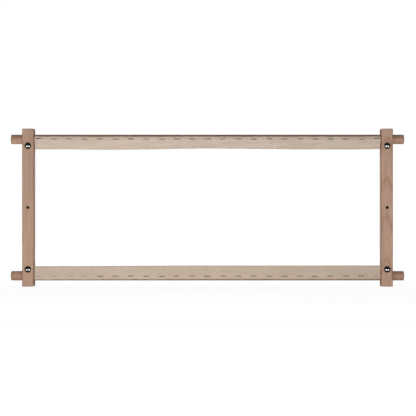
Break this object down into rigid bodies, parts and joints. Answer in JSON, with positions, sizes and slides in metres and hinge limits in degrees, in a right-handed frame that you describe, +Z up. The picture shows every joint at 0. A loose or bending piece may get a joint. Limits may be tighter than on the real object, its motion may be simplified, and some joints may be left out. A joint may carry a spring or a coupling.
{
  "type": "scroll frame",
  "caption": "Needlework scroll frame: slit side bars clamp round rollers that carry stapled webbing tapes, with bolts and wing nuts behind.",
  "frame": {"origin": "middle of the frame's outline on the plane that the side bars stand on: centred across the width and over the depth from the bolt heads to the bolts' tails", "axes": "+X along the rollers, to the right seen from the front; +Y from the front, where the tapes and bolt heads are, to the back, where the wing nuts are; +Z up along the side bars"},
  "size_m": [0.75, 0.0432, 0.3],
  "materials": {
    "beech_bar": "sanded beech with no varnish",
    "beech_roller": "turned beech with no varnish",
    "cotton_webbing": "undyed woven cotton",
    "staple_wire": "dull galvanised wire",
    "bright_bolt": "bright nickel plate",
    "plated_steel": "bright zinc plate"
  },
  "bodies": {
    "left_frame": {"left_side_bar": "beech_bar", "top_left_bolt": "bright_bolt", "bottom_left_bolt": "bright_bolt"},
    "right_frame": {"right_side_bar": "beech_bar", "top_right_bolt": "bright_bolt", "bottom_right_bolt": "bright_bolt"},
    "top_roller_unit": {"top_roller": "beech_roller", "top_tape": "cotton_webbing", "top_staples": "staple_wire"},
    "bottom_roller_unit": {"bottom_roller": "beech_roller", "bottom_tape": "cotton_webbing", "bottom_staples": "staple_wire"},
    "top_left_washer_unit": {"top_left_washer": "plated_steel"},
    "top_right_washer_unit": {"top_right_washer": "plated_steel"},
    "bottom_left_washer_unit": {"bottom_left_washer": "plated_steel"},
    "bottom_right_washer_unit": {"bottom_right_washer": "plated_steel"},
    "top_left_nut_unit": {"top_left_wing_nut": "plated_steel"},
    "top_right_nut_unit": {"top_right_wing_nut": "plated_steel"},
    "bottom_left_nut_unit": {"bottom_left_wing_nut": "plated_steel"},
    "bottom_right_nut_unit": {"bottom_right_wing_nut": "plated_steel"}
  },
  "joints": [
    {"name": "top_roller_turn", "type": "hinge", "parent": "left_frame", "child": "top_roller_unit", "pos_m": [0, -0.00585, 0.28], "axis": [1, 0, 0], "continuous": true},
    {"name": "bottom_roller_turn", "type": "hinge", "parent": "left_frame", "child": "bottom_roller_unit", "pos_m": [0, -0.00585, 0.02], "axis": [1, 0, 0], "continuous": true},
    {"name": "right_bar_slide", "type": "slide", "parent": "left_frame", "child": "right_frame", "axis": [1, 0, 0], "range_m": [0, 0.046]},
    {"name": "top_left_washer_slide", "type": "slide", "parent": "left_frame", "child": "top_left_washer_unit", "axis": [0, 1, 0], "range_m": [0, 0.0024]},
    {"name": "top_left_nut_turn", "type": "hinge", "parent": "top_left_washer_unit", "child": "top_left_nut_unit", "pos_m": [-0.341, 0.00785, 0.26732], "axis": [0, 1, 0], "range_deg": [0, 1080]},
    {"name": "top_right_washer_slide", "type": "slide", "parent": "right_frame", "child": "top_right_washer_unit", "axis": [0, 1, 0], "range_m": [0, 0.0024]},
    {"name": "top_right_nut_turn", "type": "hinge", "parent": "top_right_washer_unit", "child": "top_right_nut_unit", "pos_m": [0.341, 0.00785, 0.26732], "axis": [0, 1, 0], "range_deg": [0, 1080]},
    {"name": "bottom_left_washer_slide", "type": "slide", "parent": "left_frame", "child": "bottom_left_washer_unit", "axis": [0, 1, 0], "range_m": [0, 0.0024]},
    {"name": "bottom_left_nut_turn", "type": "hinge", "parent": "bottom_left_washer_unit", "child": "bottom_left_nut_unit", "pos_m": [-0.341, 0.00785, 0.03268], "axis": [0, 1, 0], "range_deg": [0, 1080]},
    {"name": "bottom_right_washer_slide", "type": "slide", "parent": "right_frame", "child": "bottom_right_washer_unit", "axis": [0, 1, 0], "range_m": [0, 0.0024]},
    {"name": "bottom_right_nut_turn", "type": "hinge", "parent": "bottom_right_washer_unit", "child": "bottom_right_nut_unit", "pos_m": [0.341, 0.00785, 0.03268], "axis": [0, 1, 0], "range_deg": [0, 1080]}
  ],
  "couplings": [
    {"joint": "top_left_washer_slide", "follows": "top_left_nut_turn", "m_per_rad": 0.00012732},
    {"joint": "top_right_washer_slide", "follows": "top_right_nut_turn", "m_per_rad": 0.00012732},
    {"joint": "bottom_left_washer_slide", "follows": "bottom_left_nut_turn", "m_per_rad": 0.00012732},
    {"joint": "bottom_right_washer_slide", "follows": "bottom_right_nut_turn", "m_per_rad": 0.00012732}
  ]
}
